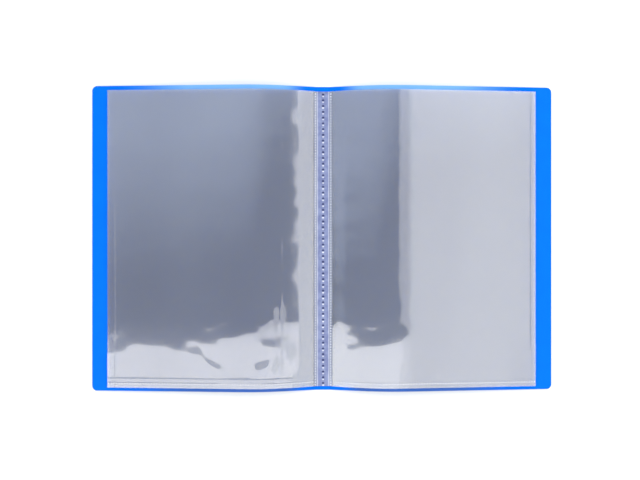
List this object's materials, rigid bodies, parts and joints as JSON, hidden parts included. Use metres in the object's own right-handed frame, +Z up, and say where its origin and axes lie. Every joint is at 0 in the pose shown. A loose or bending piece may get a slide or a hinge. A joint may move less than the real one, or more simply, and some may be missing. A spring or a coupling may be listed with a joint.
{
  "type": "display book with clear pockets",
  "caption": "Open clear-pocket display book: a thin folding plastic cover with welded clear film pockets lying in two bowed halves.",
  "frame": {"origin": "middle of the spine's underside, on the surface the open book lies on", "axes": "+X across the open book, +Y up the page towards the pocket mouths, +Z up from the table"},
  "size_m": [0.47, 0.31, 0.0189],
  "materials": {
    "cover": "fine matte grain, blue polypropylene",
    "weld_strip": "satin, with a row of embossed weld dots",
    "pocket_film": "glossy clear film with soft creases"
  },
  "bodies": {
    "spine": {"spine_panel": "cover", "gutter_weld_strip": "weld_strip"},
    "left_half_gutter_side": {"left_cover_gutter_side": "cover", "left_pocket_1_lower_film_gutter_side": "pocket_film", "left_pocket_1_upper_film_gutter_side": "pocket_film", "left_pocket_2_lower_film_gutter_side": "pocket_film", "left_pocket_2_upper_film_gutter_side": "pocket_film", "left_pocket_3_lower_film_gutter_side": "pocket_film", "left_pocket_3_upper_film_gutter_side": "pocket_film", "left_pocket_4_lower_film_gutter_side": "pocket_film", "left_pocket_4_upper_film_gutter_side": "pocket_film"},
    "left_half_edge_side": {"left_cover_edge_side": "cover", "left_pocket_1_lower_film_edge_side": "pocket_film", "left_pocket_1_upper_film_edge_side": "pocket_film", "left_pocket_2_lower_film_edge_side": "pocket_film", "left_pocket_2_upper_film_edge_side": "pocket_film", "left_pocket_3_lower_film_edge_side": "pocket_film", "left_pocket_3_upper_film_edge_side": "pocket_film", "left_pocket_4_lower_film_edge_side": "pocket_film", "left_pocket_4_upper_film_edge_side": "pocket_film"},
    "left_leaf_gutter_side": {"left_pocket_5_lower_film_gutter_side": "pocket_film", "left_pocket_5_upper_film_gutter_side": "pocket_film"},
    "left_leaf_bend_band": {"left_pocket_5_lower_film_bend_band": "pocket_film", "left_pocket_5_upper_film_bend_band": "pocket_film"},
    "left_leaf_edge_side": {"left_pocket_5_lower_film_edge_side": "pocket_film", "left_pocket_5_upper_film_edge_side": "pocket_film"},
    "right_half_gutter_side": {"right_cover_gutter_side": "cover", "right_pocket_1_lower_film_gutter_side": "pocket_film", "right_pocket_1_upper_film_gutter_side": "pocket_film", "right_pocket_2_lower_film_gutter_side": "pocket_film", "right_pocket_2_upper_film_gutter_side": "pocket_film", "right_pocket_3_lower_film_gutter_side": "pocket_film", "right_pocket_3_upper_film_gutter_side": "pocket_film", "right_pocket_4_lower_film_gutter_side": "pocket_film", "right_pocket_4_upper_film_gutter_side": "pocket_film"},
    "right_half_edge_side": {"right_cover_edge_side": "cover", "right_pocket_1_lower_film_edge_side": "pocket_film", "right_pocket_1_upper_film_edge_side": "pocket_film", "right_pocket_2_lower_film_edge_side": "pocket_film", "right_pocket_2_upper_film_edge_side": "pocket_film", "right_pocket_3_lower_film_edge_side": "pocket_film", "right_pocket_3_upper_film_edge_side": "pocket_film", "right_pocket_4_lower_film_edge_side": "pocket_film", "right_pocket_4_upper_film_edge_side": "pocket_film"},
    "right_leaf_gutter_side": {"right_pocket_5_lower_film_gutter_side": "pocket_film", "right_pocket_5_upper_film_gutter_side": "pocket_film"},
    "right_leaf_bend_band": {"right_pocket_5_lower_film_bend_band": "pocket_film", "right_pocket_5_upper_film_bend_band": "pocket_film"},
    "right_leaf_edge_side": {"right_pocket_5_lower_film_edge_side": "pocket_film", "right_pocket_5_upper_film_edge_side": "pocket_film"}
  },
  "joints": [
    {"name": "left_cover_fold", "type": "hinge", "parent": "spine", "child": "left_half_gutter_side", "pos_m": [-0.007, 0, 0.0004], "axis": [0, -1, 0], "range_deg": [-76.6, 0]},
    {"name": "left_cover_flex", "type": "hinge", "parent": "left_half_gutter_side", "child": "left_half_edge_side", "pos_m": [-0.0616, 0, 0.0186], "axis": [0, -1, 0], "range_deg": [-17.73, 0]},
    {"name": "left_leaf_turn", "type": "hinge", "parent": "left_half_gutter_side", "child": "left_leaf_gutter_side", "pos_m": [0, 0, 0.00516], "axis": [0, 1, 0], "range_deg": [0, 153.2]},
    {"name": "left_leaf_bend", "type": "hinge", "parent": "left_leaf_gutter_side", "child": "left_leaf_bend_band", "pos_m": [-0.0616, 0, 0.0186], "axis": [0, 1, 0], "range_deg": [0, 35.47]},
    {"name": "left_leaf_flex", "type": "hinge", "parent": "left_leaf_bend_band", "child": "left_leaf_edge_side", "pos_m": [-0.0616, 0, 0.0186], "axis": [0, -1, 0], "range_deg": [-17.73, 0]},
    {"name": "right_cover_fold", "type": "hinge", "parent": "spine", "child": "right_half_gutter_side", "pos_m": [0.007, 0, 0.0004], "axis": [0, 1, 0], "range_deg": [-76.6, 0]},
    {"name": "right_cover_flex", "type": "hinge", "parent": "right_half_gutter_side", "child": "right_half_edge_side", "pos_m": [0.0616, 0, 0.0186], "axis": [0, 1, 0], "range_deg": [-17.73, 0]},
    {"name": "right_leaf_turn", "type": "hinge", "parent": "right_half_gutter_side", "child": "right_leaf_gutter_side", "pos_m": [0, 0, 0.00516], "axis": [0, -1, 0], "range_deg": [0, 153.2]},
    {"name": "right_leaf_bend", "type": "hinge", "parent": "right_leaf_gutter_side", "child": "right_leaf_bend_band", "pos_m": [0.0616, 0, 0.0186], "axis": [0, -1, 0], "range_deg": [0, 35.47]},
    {"name": "right_leaf_flex", "type": "hinge", "parent": "right_leaf_bend_band", "child": "right_leaf_edge_side", "pos_m": [0.0616, 0, 0.0186], "axis": [0, 1, 0], "range_deg": [-17.73, 0]}
  ],
  "couplings": [
    {"joint": "left_leaf_bend", "follows": "left_leaf_turn", "ratio": 0.23148},
    {"joint": "left_leaf_flex", "follows": "left_cover_flex", "ratio": 1},
    {"joint": "right_leaf_bend", "follows": "right_leaf_turn", "ratio": 0.23148},
    {"joint": "right_leaf_flex", "follows": "right_cover_flex", "ratio": 1}
  ]
}
